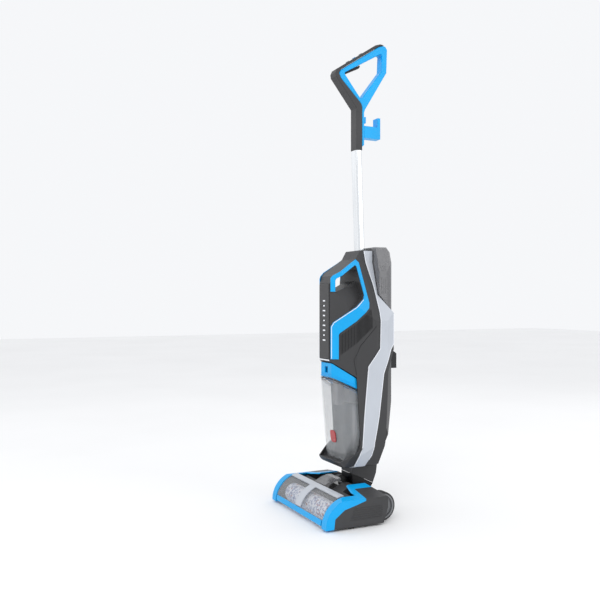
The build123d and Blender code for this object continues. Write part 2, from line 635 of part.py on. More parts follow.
chin_plan = [(52, 84), (75, 120), (79, 142)]
with BuildPart() as bay_chin:
    extrude(side([(86, BAY_FLOOR + 1), (96, BODY_BOTTOM + 5), (117.4, BODY_BOTTOM), (137.4, 164.6),
                  (129, 158)]), amount=BODY_WIDTH, both=True)
    extrude(plan(chin_plan), amount=OVERALL_HEIGHT, mode=Mode.INTERSECT)
    extrude(front(body_front, -20), amount=OVERALL_DEPTH, mode=Mode.INTERSECT)
    with BuildPart(mode=Mode.PRIVATE) as chin_hollow:
        extrude(side([(80, BAY_FLOOR), (150, BAY_FLOOR), (150, 200), (80, 200)]), amount=BODY_WIDTH,
                both=True)
        extrude(plan(chin_plan, grow=-WALL - 0.5), amount=OVERALL_HEIGHT, mode=Mode.INTERSECT)
        extrude(front(body_front, -20, grow=-WALL), amount=OVERALL_DEPTH, mode=Mode.INTERSECT)
    add(chin_hollow.part, mode=Mode.SUBTRACT)
    with BuildPart(mode=Mode.PRIVATE) as chin_mouth:
        extrude(side([(112, BAY_FLOOR), (150, BAY_FLOOR), (150, 200), (112, 200)]),
                amount=BAY_HALF - 8, both=True)
    add(chin_mouth.part, mode=Mode.SUBTRACT)
keep(bay_chin, "bay_chin")

# ---------------------------------------------------------------- body shells

gap_points = [(84, 566), (138, 602), (146, 596), (144, 566), (120, 552), (86, 538)]
recess_side = [(83, 475), (83, 566), (86, 572), (136, 603.5), (140, 600), (148.5, 534), (145, 524),
               (90, 476)]


def side_recess(grow=0.0):
    """The dished recess inside the blue ring on both flanks; its floor leans inwards towards the top."""
    with BuildPart() as block:
        extrude(side(recess_side, grow=grow), amount=BODY_WIDTH, both=True)
        extrude(front([(74, 440), (74, 466), (27, 552), (24, 640)], grow=-grow), amount=OVERALL_DEPTH,
                mode=Mode.SUBTRACT)
    return block.part


pocket_half = CLEAN_HALF + SLIDE_GAP
pocket_rear = BODY_REAR - WALL
pocket_side = [(PARTING_DEPTH + GAP, POCKET_FLOOR), (pocket_rear, POCKET_FLOOR), (pocket_rear, CLEAN_TOP),
               (PARTING_DEPTH + GAP, CLEAN_TOP)]

with BuildPart() as front_housing:
    add(body_form)
    add(body_hollow, mode=Mode.SUBTRACT)
    with BuildPart(mode=Mode.PRIVATE) as grip_tunnel:
        extrude(side(gap_points, grow=WALL), amount=BODY_WIDTH, both=True)
        add(body_form, mode=Mode.INTERSECT)
    add(grip_tunnel.part)
    with BuildPart(mode=Mode.PRIVATE) as recess_walls:
        add(side_recess(WALL))
        add(body_form, mode=Mode.INTERSECT)
    add(recess_walls.part)
    add(side_recess(), mode=Mode.SUBTRACT)
    extrude(side(gap_points), amount=BODY_WIDTH, both=True, mode=Mode.SUBTRACT)
    add(front_zone.part, mode=Mode.INTERSECT)
keep(front_housing, "front_housing")


def tube_plane(height):
    """The plane across the leaning tube at a height."""
    depth = TUBE_DEPTH - (height - BODY_TOP) * tan(radians(TUBE_LEAN))
    return Plane(origin=(0, back(depth), height), x_dir=(1, 0, 0),
                 z_dir=(0, -sin(radians(TUBE_LEAN)), cos(radians(TUBE_LEAN))))


def tube_section(height, shrink=0.0):
    """The tube's rounded section at a height."""
    with BuildSketch(tube_plane(height)) as flat:
        RectangleRounded(TUBE_WIDTH - 2 * shrink, TUBE_THICKNESS - 2 * shrink, 5 - shrink)
    return flat.sketch


with BuildPart() as rear_housing:
    add(body_form)
    add(body_hollow, mode=Mode.SUBTRACT)
    add(front_zone.part, mode=Mode.SUBTRACT)
    add(bay_cut, mode=Mode.SUBTRACT)
    with BuildPart(mode=Mode.PRIVATE) as pocket_walls:
        extrude(side(pocket_side, grow=WALL), amount=pocket_half + WALL, both=True)
        add(body_form, mode=Mode.INTERSECT)
    add(pocket_walls.part)
    extrude(side(pocket_side), amount=pocket_half, both=True, mode=Mode.SUBTRACT)
    extrude(disc(level(VALVE_DEPTH, POCKET_FLOOR - WALL - 1), STEM_RADIUS + GAP), amount=WALL + 2,
            mode=Mode.SUBTRACT)
    extrude(tube_section(BODY_TOP - 20, -GAP), amount=40, mode=Mode.SUBTRACT)
    extrude(disc(level(PIVOT_DEPTH + 10, BODY_BOTTOM - 1), DUCT_BORE), amount=WALL + 2,
            mode=Mode.SUBTRACT)
keep(rear_housing, "rear_housing")


def body_skin(points):
    """A skin on both sides of the body, inside a side outline."""
    with BuildPart() as skin:
        add(body_block(points, SKIN))
        add(body_block(points), mode=Mode.SUBTRACT)
    return skin.part


silver_side = [(163, 641), (180, 555), (186, 490), (184, 402), (153.5, 360), (143.5, 240), (139, 167),
               (120, 114), (150, 114), (166, 145), (169, 175), (181, 240), (194, 342), (216, 400),
               (227, 412), (227, SHOULDER_HEIGHT), (187.5, SHOULDER_HEIGHT + 46), (187.5, 641)]
trim_side = [(76, 540), (76, 573), (80, 579), (140, 619), (149, 612), (161, 512), (158, 500), (93, 440),
             (91, 436), (91, 377), (76, 377), (76, 455), (81, 466), (146, 522), (150, 532), (141, 602),
             (137, 605), (86, 571), (84.5, 566), (84.5, 540)]
for points, name in ((silver_side, "silver_panel"), (trim_side, "body_trim")):
    skin = body_skin(points)
    for hand, keep_side in (("right", Keep.TOP), ("left", Keep.BOTTOM)):
        with BuildPart() as panel:
            add(skin)
            split(bisect_by=Plane.YZ, keep=keep_side)
        keep(panel, name + "_" + hand)

with BuildPart() as spine_panel:
    extrude(side([(SPINE_DEPTH, 376), (SPINE_DEPTH, 560), (SPINE_DEPTH - SKIN, 558),
                  (SPINE_DEPTH - SKIN, 378)]), amount=SPINE_HALF - 2.5, both=True)
    slot_plane = Plane(origin=(0, back(SPINE_DEPTH - SKIN), SPINE_SLOT_CENTRE), x_dir=(1, 0, 0),
                       z_dir=(0, -1, 0))
    with BuildSketch(slot_plane):
        with GridLocations(0, SPINE_SLOT_PITCH, 1, SPINE_SLOTS):
            SlotOverall(22, 2.4)
    extrude(amount=-SKIN / 2, mode=Mode.SUBTRACT)
keep(spine_panel, "spine_panel")

cover_outer = [(DUCT_COVER_REAR, 388), (DUCT_COVER_REAR, 268), (224, 195), (207, 122),
               (207, BODY_BOTTOM + 1)]
cover_inner = [(190.5, BODY_BOTTOM + 1), (200.4, 175), (204.4, 250), (208.4, 345), (228.4, 399)]
cover_open = [(d - 2 * WALL, z) for d, z in cover_inner]


def cover_block(side_points, grow=0.0):
    """The rear duct cover's form inside a side outline: drawn in at its foot, chamfered in plan."""
    half = DUCT_COVER_HALF
    with BuildPart() as block:
        extrude(side(side_points, grow=grow), amount=half, both=True)
        extrude(front([(30, BODY_BOTTOM - 5), (36, 130), (half, 210), (half, 500)], 100, grow=grow),
                amount=OVERALL_DEPTH, mode=Mode.INTERSECT)
        extrude(plan([(half, 150), (half, 212), (half - 20, 242)], grow=grow), amount=OVERALL_HEIGHT,
                mode=Mode.INTERSECT)
    return block.part


def cord_plane(depth):
    """The upright plane across the cord's outlet at a depth, facing the rear."""
    return Plane(origin=(0, back(depth), CORD_HOLE_HEIGHT), x_dir=(-1, 0, 0), z_dir=(0, 1, 0))


with BuildPart() as duct_cover:
    add(cover_block(cover_inner + cover_outer))
    add(cover_block(cover_open + cover_outer, -WALL), mode=Mode.SUBTRACT)
    extrude(disc(cord_plane(DUCT_COVER_REAR - 6), CORD_HOLE_RADIUS), amount=8, mode=Mode.SUBTRACT)
keep(duct_cover, "duct_cover")

hook_points = [(BODY_REAR + GAP, 402.5), (DUCT_COVER_REAR + GAP, 391.5), (256, 378), (258, 347),
               (OVERALL_DEPTH, 347), (OVERALL_DEPTH, 384), (236, 412), (BODY_REAR + GAP, 416)]
with BuildPart() as lower_cord_hook:
    extrude(side(hook_points), amount=HOOK_WIDTH / 2, both=True)
keep(lower_cord_hook, "lower_cord_hook")

with BuildPart() as cord_gland:
    extrude(disc(cord_plane(DUCT_COVER_REAR), CORD_HOLE_RADIUS + 3, CORD_HOLE_RADIUS), amount=12)
keep(cord_gland, "cord_gland")

# ---------------------------------------------------------------- inside the body

with BuildPart() as suction_motor:
    extrude(disc(level(FAN_DEPTH, FAN_HEIGHT - FAN_MOTOR_LENGTH - 4), FAN_MOTOR_RADIUS),
            amount=FAN_MOTOR_LENGTH)
    fillet(suction_motor.edges(), 4)
    extrude(disc(level(FAN_DEPTH, FAN_HEIGHT - 30), SHAFT_RADIUS + RUNNING), amount=30, mode=Mode.SUBTRACT)
keep(suction_motor, "suction_motor")

with BuildPart() as fan_housing:
    extrude(disc(level(FAN_DEPTH, FAN_HEIGHT - 4), FAN_RADIUS, SHAFT_RADIUS + 2), amount=3)
    extrude(disc(level(FAN_DEPTH, FAN_HEIGHT - 1), FAN_RADIUS, FAN_RADIUS - WALL), amount=28)
    extrude(disc(level(FAN_DEPTH, FAN_HEIGHT + 27), FAN_RADIUS, FAN_RADIUS / 2), amount=3)
keep(fan_housing, "fan_housing")

with BuildPart() as impeller:
    extrude(disc(level(FAN_DEPTH, FAN_HEIGHT + 3), FAN_RADIUS - WALL - 3), amount=2)
    extrude(disc(level(FAN_DEPTH, FAN_HEIGHT - 25), SHAFT_RADIUS), amount=44)
    with BuildSketch(level(FAN_DEPTH, FAN_HEIGHT + 5)):
        with PolarLocations((FAN_RADIUS - WALL) / 2 + 2, FAN_BLADES, rotate=True):
            Rectangle(FAN_RADIUS - WALL - 14, 1.6, rotation=25)
    extrude(amount=14)
keep(impeller, "impeller")

with BuildPart() as solution_pump:
    extrude(disc(cross(150, 366, -PUMP_LENGTH / 2), PUMP_RADIUS), amount=PUMP_LENGTH)
    fillet(solution_pump.edges(), 2)
keep(solution_pump, "solution_pump")

# ---------------------------------------------------------------- dirty water tank and its lid


def rim(depth, lift=0.0):
    """Height of the dirty tank's sloping rim at a depth."""
    return RIM_FRONT - RIM_SLOPE * (depth - TANK_FRONT) + lift


tank_half = BAY_HALF - SLIDE_GAP
tank_rear = BAY_REAR - SLIDE_GAP
tank_bottom = BAY_FLOOR + GAP
tank_foot = bay_foot - SLIDE_GAP
tank_plan = [(SPINE_HALF + 2, TANK_FRONT), (tank_half, TANK_FRONT + 43), (tank_half, tank_rear)]
tank_side = [(108, tank_bottom), (tank_rear - 7, tank_bottom), (tank_rear, tank_bottom + 7),
             (tank_rear, rim(tank_rear)), (TANK_FRONT, rim(TANK_FRONT))]


def tank_block(side_points, grow=0.0, side_grow=0.0):
    """The dirty tank's form inside a side outline: a rounded wedge in plan, narrower at its foot."""
    with BuildPart() as block:
        extrude(side(side_points, grow=side_grow), amount=tank_half + 20, both=True)
        extrude(plan(tank_plan, 0, 9, grow), amount=OVERALL_HEIGHT, mode=Mode.INTERSECT)
        extrude(front([(tank_foot, tank_bottom - 5), (tank_foot, tank_bottom), (tank_half, 200),
                       (tank_half, 450)], 40, grow=grow), amount=OVERALL_DEPTH, mode=Mode.INTERSECT)
    return block.part


open_top = [(108, tank_bottom), (tank_rear - 7, tank_bottom), (tank_rear, tank_bottom + 7),
            (tank_rear, 400), (TANK_FRONT - 10, 400)]
with BuildPart() as dirty_tank:
    add(tank_block(tank_side))
    add(tank_block(open_top, -TANK_WALL, -TANK_WALL), mode=Mode.SUBTRACT)
    extrude(disc(level(STANDPIPE_DEPTH, tank_bottom + 1), STANDPIPE_RADIUS, STANDPIPE_RADIUS - 2),
            amount=rim(STANDPIPE_DEPTH) - tank_bottom - 34)
keep(dirty_tank, "dirty_tank")

lid_under = 1.5
lid_front = TANK_FRONT - 1
lid_side = [(lid_front, rim(lid_front, lid_under)), (tank_rear, rim(tank_rear, lid_under)),
            (tank_rear, ceiling(tank_rear, -LID_WALL)), (lid_front, ceiling(lid_front, -LID_WALL))]
with BuildPart() as tank_lid:
    add(tank_block(lid_side))
    add(tank_block([(TANK_FRONT + 4, rim(TANK_FRONT + 4) - 9), (tank_rear - LID_WALL, rim(tank_rear) - 9),
                    (tank_rear - LID_WALL, ceiling(tank_rear, -2 * LID_WALL - 1)),
                    (TANK_FRONT + 4, ceiling(TANK_FRONT + 4, -2 * LID_WALL - 1))], -LID_WALL),
        mode=Mode.SUBTRACT)
    with Locations((0, back(TANK_FRONT), 350)):
        Box(15, 24, 15, mode=Mode.SUBTRACT)
keep(tank_lid, "tank_lid")

with BuildPart() as intake_column:
    extrude(side([(104, 262), (122, 262), (122, ceiling(122, -2 * LID_WALL - 2)),
                  (104, ceiling(104, -2 * LID_WALL - 2))]), amount=13, both=True)
    extrude(side([(107, 258), (119, 258), (119, ceiling(122, -12)), (107, ceiling(122, -12))]), amount=10,
            both=True, mode=Mode.SUBTRACT)
keep(intake_column, "intake_column")

with BuildPart() as strainer:
    extrude(side([(126, 268), (148, 268), (148, 291), (126, 302)]), amount=30, both=True)
    extrude(side([(128, 270), (146, 270), (146, 310), (128, 310)]), amount=28, both=True,
            mode=Mode.SUBTRACT)
keep(strainer, "strainer")

with BuildPart() as tank_badge:
    with BuildSketch(Plane(origin=(0, back(99.2), 185), x_dir=(1, 0, 0), z_dir=(0, -200, -29))):
        RectangleRounded(26, 30, 8)
    extrude(amount=1.6)
keep(tank_badge, "tank_badge")

# ---------------------------------------------------------------- clean water tank


def ledge(depth, lift=0.0):
    """Height of the body's sloping shoulder at a depth."""
    return SHOULDER_HEIGHT + 47 * (BODY_REAR - depth) / (BODY_REAR - PARTING_DEPTH) + lift


clean_front = PARTING_DEPTH + SLIDE_GAP
clean_upper = [(clean_front, ledge(clean_front, SLIDE_GAP)), (BODY_REAR, ledge(BODY_REAR, SLIDE_GAP)),
               (BODY_REAR, CLEAN_TOP - 12), (BODY_REAR - 8, CLEAN_TOP), (clean_front, CLEAN_TOP)]
clean_lower = [(clean_front, CLEAN_BOTTOM), (pocket_rear - SLIDE_GAP, CLEAN_BOTTOM),
               (pocket_rear - SLIDE_GAP, ledge(pocket_rear, 8)), (clean_front, ledge(clean_front, 12))]
clean_upper_plan = [(CLEAN_UPPER_HALF, clean_front - 20), (CLEAN_UPPER_HALF, 212),
                    (CLEAN_UPPER_HALF - 12, BODY_REAR + 12)]
clean_upper_front = [(CLEAN_UPPER_HALF, 400), (CLEAN_UPPER_HALF, CLEAN_TOP - 60),
                     (CLEAN_TOP_HALF, CLEAN_TOP + 10)]


def clean_block(shrink=0.0):
    """The clean tank's form: a wide upper part on a narrower foot that enters the pocket."""
    with BuildPart() as upper:
        extrude(side(clean_upper, grow=-shrink), amount=half_body + 10, both=True)
        extrude(plan(clean_upper_plan, grow=-shrink), amount=OVERALL_HEIGHT, mode=Mode.INTERSECT)
        extrude(front(clean_upper_front, 100, grow=-shrink), amount=OVERALL_DEPTH, mode=Mode.INTERSECT)
    with BuildPart() as block:
        add(upper.part)
        extrude(side(clean_lower, grow=-shrink), amount=CLEAN_HALF - shrink, both=True)
    return block.part


with BuildPart() as clean_tank:
    add(clean_block())
    add(clean_block(TANK_WALL), mode=Mode.SUBTRACT)
keep(clean_tank, "clean_tank")

with BuildPart() as valve_cap:
    extrude(disc(level(VALVE_DEPTH, CLEAN_BOTTOM - VALVE_HEIGHT), VALVE_RADIUS), amount=VALVE_HEIGHT)
    with Locations((0, back(VALVE_DEPTH), CLEAN_BOTTOM - VALVE_HEIGHT / 2)):
        Box(2 * VALVE_RADIUS + 14, 6, 12)
    extrude(disc(level(VALVE_DEPTH, POCKET_FLOOR - 10), STEM_RADIUS - 0.5),
            amount=CLEAN_BOTTOM - POCKET_FLOOR)
keep(valve_cap, "valve_cap")

# ---------------------------------------------------------------- tube and handle

tube_low = BODY_TOP - TUBE_INSERT
tube_length = (handle_bottom - GAP - tube_low) / cos(radians(TUBE_LEAN))
with BuildPart() as tube:
    extrude(tube_section(tube_low), amount=tube_length)
    extrude(tube_section(tube_low, TUBE_WALL), amount=tube_length, mode=Mode.SUBTRACT)
keep(tube, "tube")


def handle_side(points, rounding=0.0):
    """A side view outline whose heights are counted from the handle's lower end."""
    return side([(d, z + handle_bottom) for d, z in points], 0, rounding)


grip_slope = Plane(origin=(0, back(157), handle_bottom + 230.5), x_dir=(1, 0, 0), z_dir=(0, -73, 110))
peg_plane = Plane(origin=(0, back(179.5), handle_bottom + HOOK_PEG_HEIGHT), x_dir=(-1, 0, 0),
                  z_dir=(0, 1, 0))


def button_spots(radius):
    """Three round button outlines in a row on the sloping top of the grip."""
    with BuildSketch(grip_slope) as flat:
        with GridLocations(0, BUTTON_PITCH, 1, 3):
            Circle(radius)
    return flat.sketch


with BuildPart() as handle_shell:
    extrude(handle_side([(156, 0), (156, 103), (99, 175), (97.5, 184), (102, 194), (212, 267), (226, 271.5),
                         (236, 270), (222, 265.4), (112, 193), (107.5, 184), (113, 172), (170, 116),
                         (173, 108), (173, 0)]), amount=HANDLE_WIDTH / 2, both=True)
    fillet(handle_shell.faces().filter_by(Axis.X).edges(), HANDLE_ROUNDING)
    extrude(tube_section(handle_bottom - 26, TUBE_WALL + 0.2), amount=32)
    extrude(button_spots(BUTTON_RADIUS + GAP), amount=-BUTTON_WELL, mode=Mode.SUBTRACT)
keep(handle_shell, "handle_shell")

with BuildPart() as handle_loop:
    extrude(handle_side([(173.3, 8), (173.3, 108), (170.3, 116.4), (113.4, 172.4), (108, 184),
                         (112.4, 192.6), (222.4, 265), (236.4, 269.4), (243, 267), (247, 260), (245, 202), (183, 103),
                         (180, 95), (180, 14)]), amount=LOOP_WIDTH / 2, both=True)
    extrude(handle_side([(123, 187), (232, 250), (230, 204), (171, 127)], 4), amount=LOOP_WIDTH, both=True,
            mode=Mode.SUBTRACT)
    fillet(handle_loop.faces().filter_by(Axis.X).edges(), HANDLE_ROUNDING)
    extrude(handle_side([(124, 182), (174, 211), (172, 223), (126, 198)]), amount=TRIGGER_WIDTH / 2 + GAP,
            both=True, mode=Mode.SUBTRACT)
    extrude(disc(peg_plane, HOOK_PEG_RADIUS), amount=12)
    extrude(handle_side([(179.5, 67), (188, 70), (188, 86), (179.5, 84)]), amount=6, both=True)
keep(handle_loop, "handle_loop")

with BuildPart() as trigger:
    extrude(handle_side([(130, 190), (133, 188), (168, 205), (171, 210), (169, 212.5), (132, 193)]),
            amount=TRIGGER_WIDTH / 2, both=True)
keep(trigger, "trigger")

with BuildPart() as upper_cord_hook:
    extrude(handle_side([(180.5, 32), (227, 32), (227, 85), (219, 85), (219, 62), (180.5, 62)]),
            amount=HOOK_WIDTH / 2, both=True)
    extrude(disc(peg_plane, HOOK_PEG_RADIUS + RUNNING), amount=13, mode=Mode.SUBTRACT)
keep(upper_cord_hook, "upper_cord_hook")

for name, along in (("power_button", BUTTON_PITCH), ("floor_button", 0.0), ("rug_button", -BUTTON_PITCH)):
    with BuildPart() as button:
        with BuildSketch(grip_slope.offset(-BUTTON_WELL / 2)):
            with Locations((0, along)):
                Circle(BUTTON_RADIUS)
        extrude(amount=BUTTON_WELL)
    keep(button, name)

# ---------------------------------------------------------------- write the pieces

os.makedirs("parts", exist_ok=True)
for piece in pieces:
    export_step(piece.part, "parts/" + piece.part.label + ".step")
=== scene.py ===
import json
import math
import random

import bmesh
import bpy
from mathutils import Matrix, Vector
from mathutils.bvhtree import BVHTree


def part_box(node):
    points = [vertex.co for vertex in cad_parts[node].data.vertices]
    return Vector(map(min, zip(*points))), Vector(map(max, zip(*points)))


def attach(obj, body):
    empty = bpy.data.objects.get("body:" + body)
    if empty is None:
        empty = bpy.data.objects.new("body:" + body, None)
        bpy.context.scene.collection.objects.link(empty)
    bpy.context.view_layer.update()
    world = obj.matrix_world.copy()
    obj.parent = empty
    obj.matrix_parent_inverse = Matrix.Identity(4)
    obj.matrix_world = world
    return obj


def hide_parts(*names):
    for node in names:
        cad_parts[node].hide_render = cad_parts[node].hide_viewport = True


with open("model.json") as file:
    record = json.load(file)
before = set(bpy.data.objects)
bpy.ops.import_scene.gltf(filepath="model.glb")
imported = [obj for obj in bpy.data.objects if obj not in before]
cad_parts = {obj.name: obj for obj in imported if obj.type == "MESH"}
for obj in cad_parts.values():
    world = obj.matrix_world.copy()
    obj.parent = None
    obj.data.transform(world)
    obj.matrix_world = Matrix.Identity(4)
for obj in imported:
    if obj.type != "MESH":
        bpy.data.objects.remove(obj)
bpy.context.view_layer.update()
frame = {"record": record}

MM = 0.001
HALF_DEPTH = 137.5
random.seed(7)


def at(x, depth, height):
    """A point from millimetres: across, behind the front bumper, above the floor."""
    return Vector((x * MM, (depth - HALF_DEPTH) * MM, height * MM))


# ---------------------------------------------------------------- camera

AZIMUTH = math.radians(64.5)
CAMERA_DISTANCE = 1.86
CAMERA_HEIGHT = 0.520
CAMERA_PITCH = math.radians(0.0)
OFFSET_LEFT = 0.117
LENS = 44.9

right = Vector((math.cos(AZIMUTH), math.sin(AZIMUTH), 0))
backward = Vector((math.sin(AZIMUTH), -math.cos(AZIMUTH), 0))
camera_data = bpy.data.cameras.new("camera")
camera_data.lens = LENS
camera_data.sensor_width = 36
camera_data.clip_end = 50
camera = bpy.data.objects.new("camera", camera_data)
bpy.context.scene.collection.objects.link(camera)
camera.location = backward * CAMERA_DISTANCE - right * OFFSET_LEFT + Vector((0, 0, CAMERA_HEIGHT))
camera.rotation_euler = (math.radians(90) - CAMERA_PITCH, 0, AZIMUTH)
bpy.context.scene.camera = camera

# ---------------------------------------------------------------- stage and light


def new_object(name, verts, faces):
    mesh = bpy.data.meshes.new(name)
    mesh.from_pydata([tuple(v) for v in verts], [], faces)
    mesh.update()
    obj = bpy.data.objects.new(name, mesh)
    bpy.context.scene.collection.objects.link(obj)
    return obj


def area_light(name, location, aim, size, power, tint=(1, 1, 1)):
    data = bpy.data.lights.new(name, "AREA")
    data.shape = "RECTANGLE"
    data.size, data.size_y = size
    data.energy = power
    data.color = tint
    lamp = bpy.data.objects.new(name, data)
    bpy.context.scene.collection.objects.link(lamp)
    lamp.location = location
    lamp.rotation_euler = (Vector(aim) - Vector(location)).to_track_quat("-Z", "Y").to_euler()


world = bpy.data.worlds.new("studio")
bpy.context.scene.world = world
world.use_nodes = True
world.node_tree.nodes["Background"].inputs["Color"].default_value = (0.97, 0.98, 1.0, 1)
world.node_tree.nodes["Background"].inputs["Strength"].default_value = 0.95
bpy.context.scene.view_settings.view_transform = "Standard"

area_light("key", (1.6, -1.5, 2.1), (0, 0, 0.5), (1.2, 1.6), 17)
area_light("side", (2.0, 1.3, 1.3), (0, 0, 0.5), (0.8, 1.8), 6)
area_light("fill", (-1.5, -1.6, 1.4), (0, 0, 0.6), (1.4, 1.6), 2.5)
area_light("rear", (-0.6, 2.0, 1.9), (0, 0, 0.6), (1.4, 1.0), 6)

FLOOR_REACH = 9
floor_corners = [(-1, -1), (1, -1), (1, 1), (-1, 1)]
floor = new_object("floor", [(x * FLOOR_REACH, y * FLOOR_REACH, 0) for x, y in floor_corners], [(0, 1, 2, 3)])

# ---------------------------------------------------------------- materials


class Shader:
    """A principled material with its nodes at hand."""

    def __init__(self, name):
        self.material = bpy.data.materials.new(name)
        self.material.use_nodes = True
        self.nodes = self.material.node_tree.nodes
        self.links = self.material.node_tree.links
        self.main = self.nodes["Principled BSDF"]
        self.place = self.nodes.new("ShaderNodeTexCoord").outputs["Object"]

    def set(self, **values):
        for key, value in values.items():
            self.main.inputs[key.replace("_", " ")].default_value = value

    def noise(self, scale, detail=3.0, rough=0.55, stretch=None):
        node = self.nodes.new("ShaderNodeTexNoise")
        node.inputs["Scale"].default_value = scale
        node.inputs["Detail"].default_value = detail
        node.inputs["Roughness"].default_value = rough
        if stretch:
            mapping = self.nodes.new("ShaderNodeMapping")
            mapping.inputs["Scale"].default_value = stretch
            self.links.new(self.place, mapping.inputs["Vector"])
            self.links.new(mapping.outputs["Vector"], node.inputs["Vector"])
        else:
            self.links.new(self.place, node.inputs["Vector"])
        return node.outputs["Fac"]

    def ramp(self, source, stops):
        node = self.nodes.new("ShaderNodeValToRGB")
        while len(node.color_ramp.elements) < len(stops):
            node.color_ramp.elements.new(0.5)
        for element, (spot, colour) in zip(node.color_ramp.elements, stops):
            element.position = spot
            element.color = (*colour, 1) if len(colour) == 3 else colour
        self.links.new(source, node.inputs["Fac"])
        return node.outputs["Color"]

    def range(self, source, low, high):
        node = self.nodes.new("ShaderNodeMapRange")
        node.inputs["To Min"].default_value = low
        node.inputs["To Max"].default_value = high
        self.links.new(source, node.inputs["Value"])
        return node.outputs["Result"]

    def surface(self, source, strength, distance=0.0004, edge=0.0):
        bump = self.nodes.new("ShaderNodeBump")
        bump.inputs["Strength"].default_value = strength
        bump.inputs["Distance"].default_value = distance
        self.links.new(source, bump.inputs["Height"])
        if edge:
            bevel = self.nodes.new("ShaderNodeBevel")
            bevel.samples = 4
            bevel.inputs["Radius"].default_value = edge
            self.links.new(bevel.outputs["Normal"], bump.inputs["Normal"])
        self.links.new(bump.outputs["Normal"], self.main.inputs["Normal"])

    def link(self, source, socket):
        self.links.new(source, self.main.inputs[socket])


def shade(colour, factor):
    return tuple(min(1.0, c * factor) for c in colour)


def plastic(name, colour, rough, grain=900.0, bump=0.12, edge=0.0012, coat=0.0, spread=0.08):
    """Moulded plastic: fine grain, a slow drift of tone, and softened edges."""
    s = Shader(name)
    drift = s.noise(9.0, 2.0)
    tones = [(0.3, shade(colour, 1 - spread)), (0.7, shade(colour, 1 + spread))]
    s.link(s.ramp(drift, tones), "Base Color")
    s.link(s.range(s.noise(55.0, 4.0), rough - 0.05, rough + 0.07), "Roughness")
    s.surface(s.noise(grain, 2.0), bump, 0.00025, edge)
    s.set(Coat_Weight=coat, Coat_Roughness=0.08, Specular_IOR_Level=0.3)
    return s.material


def clear_plastic(name, colour, alpha, rough=0.08, streak=40.0):
    """Thin clear moulding: tinted, faintly streaked, seen through."""
    s = Shader(name)
    streaks = s.noise(streak, 2.0, stretch=(1, 1, 0.15))
    s.link(s.ramp(streaks, [(0.3, shade(colour, 0.86)), (0.7, colour)]), "Base Color")
    s.link(s.range(s.noise(60.0), rough, rough + 0.06), "Roughness")
    s.link(s.range(s.noise(14.0), alpha - 0.05, alpha + 0.05), "Alpha")
    s.surface(s.noise(120.0), 0.05, 0.0003)
    s.set(IOR=1.49, Coat_Weight=0.6, Coat_Roughness=0.04)
    return s.material


def metal(name, colour, rough, stretch, coat=0.0):
    """Drawn or turned metal with fine lines one way."""
    s = Shader(name)
    lines = s.noise(260.0, 3.0, stretch=stretch)
    s.link(s.ramp(lines, [(0.2, shade(colour, 0.85)), (0.8, shade(colour, 1.08))]), "Base Color")
    s.link(s.range(lines, rough - 0.07, rough + 0.09), "Roughness")
    s.surface(lines, 0.1, 0.0001, 0.0006)
    s.set(Metallic=1.0, Coat_Weight=coat)
    return s.material


def flecked(name):
    """White pile with grey blue and red brown flecks."""
    s = Shader(name)
    cells = s.nodes.new("ShaderNodeTexVoronoi")
    cells.inputs["Scale"].default_value = 210.0
    s.links.new(s.place, cells.inputs["Vector"])
    spots = s.nodes.new("ShaderNodeSeparateColor")
    s.links.new(cells.outputs["Color"], spots.inputs["Color"])
    pile = [(0.0, (0.86, 0.87, 0.92)), (0.60, (0.80, 0.82, 0.90)), (0.64, (0.20, 0.24, 0.42)),
            (0.93, (0.33, 0.37, 0.55)), (0.96, (0.45, 0.12, 0.08))]
    s.link(s.ramp(spots.outputs["Red"], pile), "Base Color")
    s.link(s.range(s.noise(300.0), 0.8, 0.95), "Roughness")
    s.surface(cells.outputs["Distance"], 0.5, 0.0008)
    s.set(Sheen_Weight=0.3)
    return s.material


floor_shader = Shader("floor_finish")
floor_tones = [(0.3, (0.90, 0.90, 0.90)), (0.7, (0.93, 0.93, 0.93))]
floor_shader.link(floor_shader.ramp(floor_shader.noise(1.2), floor_tones), "Base Color")
floor_shader.set(Roughness=0.75)
floor.data.materials.append(floor_shader.material)

BLUE = (0.0, 0.37, 0.80)
looks = {
    "shell_dark": plastic("dark_shell", (0.048, 0.048, 0.050), 0.42, bump=0.25),
    "bay_black": plastic("black_bay", (0.004, 0.004, 0.005), 0.34, grain=500, bump=0.08),
    "blue": plastic("blue_trim", BLUE, 0.34, grain=700, bump=0.06, coat=0.06, spread=0.05),
    "silver": plastic("silver_panel", (0.50, 0.53, 0.58), 0.30, grain=1500, bump=0.10, coat=0.2,
                      spread=0.04),
    "tube": metal("bright_tube", (0.80, 0.82, 0.84), 0.20, (1, 1, 0.02), coat=0.3),
    "clear": clear_plastic("clear_moulding", (0.62, 0.64, 0.66), 0.20),
    "smoke": clear_plastic("smoked_moulding", (0.17, 0.17, 0.18), 0.72, rough=0.14),
    "black_gloss": plastic("gloss_black", (0.012, 0.012, 0.014), 0.16, grain=300, bump=0.03, coat=0.5),
    "rubber": plastic("rubber", (0.022, 0.022, 0.022), 0.72, grain=600, bump=0.3),
    "tyre": plastic("tyre_rubber", (0.026, 0.026, 0.026), 0.66, grain=420, bump=0.35),
    "steel": metal("turned_steel", (0.50, 0.51, 0.53), 0.28, (0.05, 1, 1)),
    "motor_can": metal("motor_can", (0.42, 0.43, 0.45), 0.38, (1, 1, 0.1)),
    "grey_plastic": plastic("grey_moulding", (0.20, 0.205, 0.215), 0.48),
    "nap": flecked("brush_pile"),
    # white: real print on the spine and the clean tank, and painted highlights along the silver panel and
    # band edges
    "white_print_and_painted_highlight": plastic("painted_highlight_and_print_white", (0.86, 0.88, 0.92), 0.25, spread=0.03),
    "badge": plastic("badge", (0.40, 0.01, 0.015), 0.25, coat=0.4),
}
slots = {entry["node"]: entry["material_slot"] for entry in frame["record"]["subparts"]}


